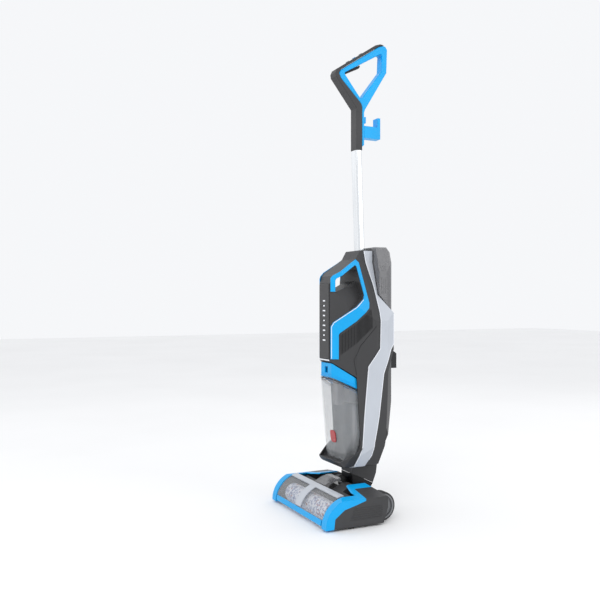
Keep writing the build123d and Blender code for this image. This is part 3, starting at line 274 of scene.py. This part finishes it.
def dress(obj, look):
    """Gives every slot of an object one look."""
    if not obj.data.materials:
        obj.data.materials.append(looks[look])
    for index in range(len(obj.data.materials)):
        obj.data.materials[index] = looks[look]


for node, slot in slots.items():
    dress(bpy.data.objects[node], slot)

# ---------------------------------------------------------------- the new pieces


def piece(obj, body, slot, *stands_for, look=None):
    """Finishes a piece: gives it its look, hangs it on what it rides on, and hides the nodes it stands for.
    """
    dress(obj, look or slot)
    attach(obj, body)
    if stands_for:
        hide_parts(*stands_for)
    return obj


# ---------------------------------------------------------------- helpers for new pieces


def smooth(obj):
    for face in obj.data.polygons:
        face.use_smooth = True
    return obj


def surface_tree(*nodes):
    """A search tree over the meshes of some CAD nodes."""
    build = bmesh.new()
    for node in nodes:
        build.from_mesh(bpy.data.objects[node].data)
    tree = BVHTree.FromBMesh(build)
    build.free()
    return tree


WELL_OUTSIDE = 220


def hit_x(tree, depth, height, hand):
    """How far out the surface stands at a depth and height, in millimetres, or 0 where there is none."""
    start = at(hand * WELL_OUTSIDE, depth, height)
    spot = tree.ray_cast(start, Vector((-hand, 0, 0)))[0]
    return abs(spot.x) / MM if spot else 0.0


def samples(points, step):
    """Points along an outline, no further apart than a step."""
    found = []
    for (d0, z0), (d1, z1) in zip(points, points[1:]):
        count = max(1, int(math.hypot(d1 - d0, z1 - z0) / step))
        found += [(d0 + (d1 - d0) * i / count, z0 + (z1 - z0) * i / count) for i in range(count)]
    return found + [points[-1]]


def tube_mesh(name, path, radius, sides=10, closed=False):
    """A round cord of material along a path of points."""
    verts, faces = [], []
    count = len(path)
    for i, spot in enumerate(path):
        before = path[i - 1] if i or closed else path[0]
        after = path[(i + 1) % count] if i + 1 < count or closed else path[-1]
        along = (after - before).normalized()
        if i == 0:
            across = along.orthogonal().normalized()
        else:
            across = (across - along * across.dot(along)).normalized()
        up = along.cross(across)
        for k in range(sides):
            turn = 2 * math.pi * k / sides
            verts.append(spot + (across * math.cos(turn) + up * math.sin(turn)) * radius * MM)
    rings = count if closed else count - 1
    for i in range(rings):
        for k in range(sides):
            a, b = i * sides, (i + 1) % count * sides
            faces.append((a + k, a + (k + 1) % sides, b + (k + 1) % sides, b + k))
    if not closed:
        faces += [tuple(range(sides))[::-1], tuple(range((count - 1) * sides, count * sides))]
    return smooth(new_object(name, verts, faces))


def revolve(name, profile, centre, axis, sides=64):
    """A ring turned about an axis from a closed profile of (along, radius) points in millimetres."""
    axis = Vector(axis).normalized()
    across = axis.orthogonal().normalized()
    up = axis.cross(across)
    verts, faces = [], []
    for i in range(sides):
        turn = 2 * math.pi * i / sides
        out = across * math.cos(turn) + up * math.sin(turn)
        verts += [centre + axis * along * MM + out * radius * MM for along, radius in profile]
    n = len(profile)
    for i in range(sides):
        a, b = i * n, (i + 1) % sides * n
        faces += [(a + k, a + (k + 1) % n, b + (k + 1) % n, b + k) for k in range(n)]
    return smooth(new_object(name, verts, faces))


def join(name, objs):
    """Makes one object of several."""
    build = bmesh.new()
    for obj in objs:
        build.from_mesh(obj.data)
        bpy.data.objects.remove(obj)
    mesh = bpy.data.meshes.new(name)
    build.to_mesh(mesh)
    build.free()
    whole = bpy.data.objects.new(name, mesh)
    bpy.context.scene.collection.objects.link(whole)
    return whole


def bar(name, corners, thick):
    """A flat bar with a bevelled face: four corners and the way it stands out."""
    inner = [c + thick + (sum(corners, Vector()) / 4 - c) * 0.06 for c in corners]
    verts = corners + inner
    faces = [(3, 2, 1, 0), (4, 5, 6, 7)] + [(k, (k + 1) % 4, 4 + (k + 1) % 4, 4 + k) for k in range(4)]
    return new_object(name, verts, faces)


SUNK = 0.3


def ribs(name, tree, hand, spans, width, proud):
    """Raised upright ribs on a flank: each span is (depth, low, high)."""
    made = []
    for depth, low, high in spans:
        rows = samples([(depth, low), (depth, high)], 8)
        verts, faces = [], []
        for d, z in rows:
            x = hit_x(tree, d, z, hand)
            section = ((-width / 2, -SUNK), (-width / 4, proud), (width / 4, proud), (width / 2, -SUNK))
            for shift, out in section:
                verts.append(at(hand * (x + out), d + shift, z))
        for i in range(len(rows) - 1):
            a, b = 4 * i, 4 * i + 4
            faces += [(a + k, a + (k + 1) % 4, b + (k + 1) % 4, b + k) for k in range(4)]
        faces += [(0, 1, 2, 3), tuple(range(len(verts) - 4, len(verts)))[::-1]]
        made.append(new_object("rib", verts, faces))
    return join(name, made)


# ---------------------------------------------------------------- body: painted highlight lines along the edges, ribs, marks

BODY_NODES = ("front_housing", "rear_housing", "neck_block")
SILVER_FRONT = [(163.6, 640), (180.6, 555), (186.4, 490), (184.2, 403), (154.2, 360), (144.2, 240),
                (139.8, 168), (122, 116)]
SILVER_REAR = [(152, 115.5), (165.4, 146), (168.4, 175), (180.4, 240), (193.4, 342), (215.4, 399.4),
               (226.2, 413), (226.2, 486)]
BAND_EDGE = [(77.2, 378), (77.2, 455), (82, 465.2), (146.3, 520.4)]
FLANK_GROOVE = [(125, 340), (120, 376), (135, 410), (176, 458)]
# radius of the white cords that paint highlights along the silver panel and band edges
HIGHLIGHT_LINE_RADIUS = 0.9
GROOVE_RADIUS = 0.5
CHEEK_FACE = 149.9
CHEEK_REAR = 148
CHEEK_ROWS = (20, 25, 30, 35, 40, 45)
CHEEK_RIB_HEIGHT = 1.6
CHEEK_RIB_PROUD = 0.8

HANDS = ((1, "right"), (-1, "left"))
for hand, word in HANDS:
    silver = surface_tree("silver_panel_" + word)
    band = surface_tree("body_trim_" + word)
    shell = surface_tree(*BODY_NODES)
    # white cords along the silver panel edges and the band edge: painted highlights on those edges
    for tree, points, name in ((silver, SILVER_FRONT, "silver_front_painted_highlight_"),
                               (silver, SILVER_REAR, "silver_rear_painted_highlight_"),
                               (band, BAND_EDGE, "band_painted_highlight_")):
        path = []
        for d, z in samples(points, 6):
            x = hit_x(tree, d, z, hand)
            if x:
                path.append(at(hand * x, d, z))
        piece(tube_mesh(name + word, path, HIGHLIGHT_LINE_RADIUS), "upright", "silver", look="white_print_and_painted_highlight")
    # the flank ribs take the near-black bay finish so they show as dark lines: painted shade of the grille's
    # slots
    fine = [(96 + 2.8 * k, 388 + 2.66 * k, 436 + 2.58 * k) for k in range(25)]
    piece(ribs("flank_ribs_" + word, shell, hand, fine, 1.3, 0.8), "upright", "bay_black")
    # a near-black cord laid along the flank groove: painted shade in the groove
    path = [at(hand * hit_x(shell, d, z, hand), d, z) for d, z in samples(FLANK_GROOVE, 4)]
    piece(tube_mesh("flank_groove_painted_shade_" + word, path, GROOVE_RADIUS), "upright", "bay_black")
    chin = surface_tree("bay_chin")
    teeth = [(d, 119 + max(0, 122 - d) * 0.25, 129 + (d - 92) * 0.62) for d in range(96, 130, 3)]
    piece(ribs("chin_ribs_" + word, chin, hand, teeth, 1.4, 0.6), "upright", "shell_dark")
    cheek = []
    for row, low in enumerate(CHEEK_ROWS):
        begin, high = 62 + 2 * row, low + CHEEK_RIB_HEIGHT
        outline = [(begin, low), (CHEEK_REAR, low), (CHEEK_REAR, high), (begin, high)]
        corners = [at(hand * CHEEK_FACE, d, z) for d, z in outline][::hand]
        cheek.append(bar("groove", corners, Vector((hand * CHEEK_RIB_PROUD * MM, 0, 0))))
    piece(join("cheek_ribs_" + word, cheek), "head", "shell_dark")

marks = []
SPINE_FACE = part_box("spine_panel")[0].y
MARK_COUNT, MARK_PITCH, MARK_LOWEST, MARK_HALF = 9, 12, 422, 1.8
for row in range(MARK_COUNT):
    height = MARK_LOWEST + MARK_PITCH * row
    reach = (7, 4, 6)[row % 3]
    low, high = height - MARK_HALF, height + MARK_HALF
    corners = [Vector((x * MM, SPINE_FACE + 0.2 * MM, z * MM))
               for x, z in ((-reach, low), (reach, low), (reach, high), (-reach, high))]
    marks.append(bar("mark", corners, Vector((0, -0.4 * MM, 0))))
piece(join("spine_marks", marks), "upright", "silver", look="white_print_and_painted_highlight")
# the white bar along the foot of the spine panel is a painted highlight on its lower edge
piece(bar("spine_foot_painted_highlight", [Vector((x * MM, SPINE_FACE + 1.2 * MM, z * MM)) for x, z in
                              ((-25, 372.6), (25, 372.6), (25, 375.6), (-25, 375.6))],
          Vector((0, -1.4 * MM, 0))), "upright", "silver", look="white_print_and_painted_highlight")

# ---------------------------------------------------------------- head: brush pile and hose

BRUSH_DEPTH, BRUSH_HEIGHT = 43.0, 27.0
pile_lo, pile_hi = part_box("brush_nap")
PILE_OUTER = (pile_hi.z - pile_lo.z) / 2 / MM
AROUND, ALONG = 132, 300


def tuft(i, j):
    """Height of the pile at a spot: close tufts, parted along two slow spirals."""
    spiral = math.sin(2 * math.pi * (i / AROUND * 2 + j / ALONG * 5))
    knot = 0.5 + 0.5 * math.sin(i * 2.1) * math.sin(j * 2.3)
    return 0.9 * knot + 0.5 * random.random() + (0.5 if spiral > 0.94 else 0.0)


verts, faces = [], []
for j in range(ALONG):
    x = pile_lo.x / MM + (pile_hi.x - pile_lo.x) / MM * j / (ALONG - 1)
    shoulder = 1.6 * max(0.0, 1 - min(j, ALONG - 1 - j) / 5)
    for i in range(AROUND):
        turn = 2 * math.pi * i / AROUND
        radius = PILE_OUTER - 0.1 - tuft(i, j) - shoulder
        verts.append(at(x, BRUSH_DEPTH + radius * math.cos(turn),
                        BRUSH_HEIGHT + radius * math.sin(turn)))
for j in range(ALONG - 1):
    for i in range(AROUND):
        a, b = j * AROUND, (j + 1) * AROUND
        faces.append((a + i, a + (i + 1) % AROUND, b + (i + 1) % AROUND, b + i))
CORE = 19.1
for j, end in ((0, pile_lo.x), (ALONG - 1, pile_hi.x)):
    start = len(verts)
    for i in range(AROUND):
        turn = 2 * math.pi * i / AROUND
        spot = at(0, BRUSH_DEPTH + CORE * math.cos(turn), BRUSH_HEIGHT + CORE * math.sin(turn))
        verts.append(Vector((end, spot.y, spot.z)))
    for i in range(AROUND):
        quad = (j * AROUND + i, j * AROUND + (i + 1) % AROUND, start + (i + 1) % AROUND, start + i)
        faces.append(quad if j == 0 else quad[::-1])
for i in range(AROUND):
    a = AROUND * ALONG
    faces.append((a + i, a + (i + 1) % AROUND, a + AROUND + (i + 1) % AROUND, a + AROUND + i))
piece(smooth(new_object("brush_pile", verts, faces)), "brush_roll", "nap", "brush_nap")

HOSE_BORE, HOSE_CREST, HOSE_VALLEY, HOSE_LENGTH = 7.5, 10, 8.7, 12.8
FOLD_COUNT, FOLD_PITCH = 4, 3
hose_profile = [(0, HOSE_BORE), (0, 9.2)]
for fold in range(FOLD_COUNT):
    start = FOLD_PITCH * fold
    hose_profile += [(1.2 + start, HOSE_CREST), (2.2 + start, HOSE_CREST), (3.2 + start, HOSE_VALLEY)]
hose_profile += [(HOSE_LENGTH, 9.0), (HOSE_LENGTH, HOSE_BORE)]
hose = revolve("hose_bellows", hose_profile, at(0, 120, 72.5), (0, 0.55, 0.83), 48)
piece(hose, "head", "rubber", "suction_hose")

# ---------------------------------------------------------------- tanks


def rim_height(depth):
    return 331 - 0.524 * (depth - 79)


HALF_PLAN = [(20, 78.8), (28, 79.6), (36, 87.5), (62.6, 120.5), (63.6, 128), (63.6, 178),
             (60, 184.6), (52, 186.7)]
TANK_PLAN = [(-20, 78.8)] + HALF_PLAN + [(-x, d) for x, d in reversed(HALF_PLAN[1:])]


def rim_ring(name, drop, radius, body, slot):
    """A rounded bead round the dirty tank's sloping rim."""
    path = []
    for (x0, d0), (x1, d1) in zip(TANK_PLAN, TANK_PLAN[1:] + TANK_PLAN[:1]):
        count = max(1, int(math.hypot(x1 - x0, d1 - d0) / 6))
        for i in range(count):
            d = d0 + (d1 - d0) * i / count
            path.append(at(x0 + (x1 - x0) * i / count, d, rim_height(d) + drop))
    return piece(tube_mesh(name, path, radius, 8, True), body, slot)


rim_ring("tank_rim_seal", -2.2, 1.1, "dirty_tank", "bay_black")
rim_ring("tank_rim_lower", -6.5, 0.8, "dirty_tank", "smoke")
rim_ring("lid_bead_lower", 4.2, 1.2, "lid", "blue")
rim_ring("lid_bead_upper", 8.6, 0.9, "lid", "blue")

clean = surface_tree("clean_tank")
for hand, word in HANDS:
    spans = [(d, low, high) for low, high in ((535, 575), (592, 606)) for d in (196, 202, 208)]
    piece(ribs("clean_tank_ribs_" + word, clean, hand, spans, 1.6, 0.6), "clean_tank", "smoke")
level = []
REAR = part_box("clean_tank")[1].y
LEVEL_INNER, LEVEL_THICKNESS = 18, 1.6
for low, reach in ((520, 16), (545, 10), (570, 16), (595, 10)):
    outer, high = LEVEL_INNER + reach, low + LEVEL_THICKNESS
    corners = [Vector((x * MM, REAR + 0.05 * MM, z * MM))
               for x, z in ((outer, low), (LEVEL_INNER, low), (LEVEL_INNER, high), (outer, high))]
    level.append(bar("level", corners, Vector((0, 0.25 * MM, 0))))
piece(join("clean_tank_levels", level), "clean_tank", "smoke", look="white_print_and_painted_highlight")
cap_profile = [(-0.2, 0.01), (-0.2, 12), (2.2, 12), (3.0, 11), (3.0, 8), (2.0, 7), (2.0, 0.01)]
filler = revolve("filler_cap", cap_profile, Vector((0, REAR, 0.615)), (0, 1, 0), 48)
piece(filler, "clean_tank", "bay_black")
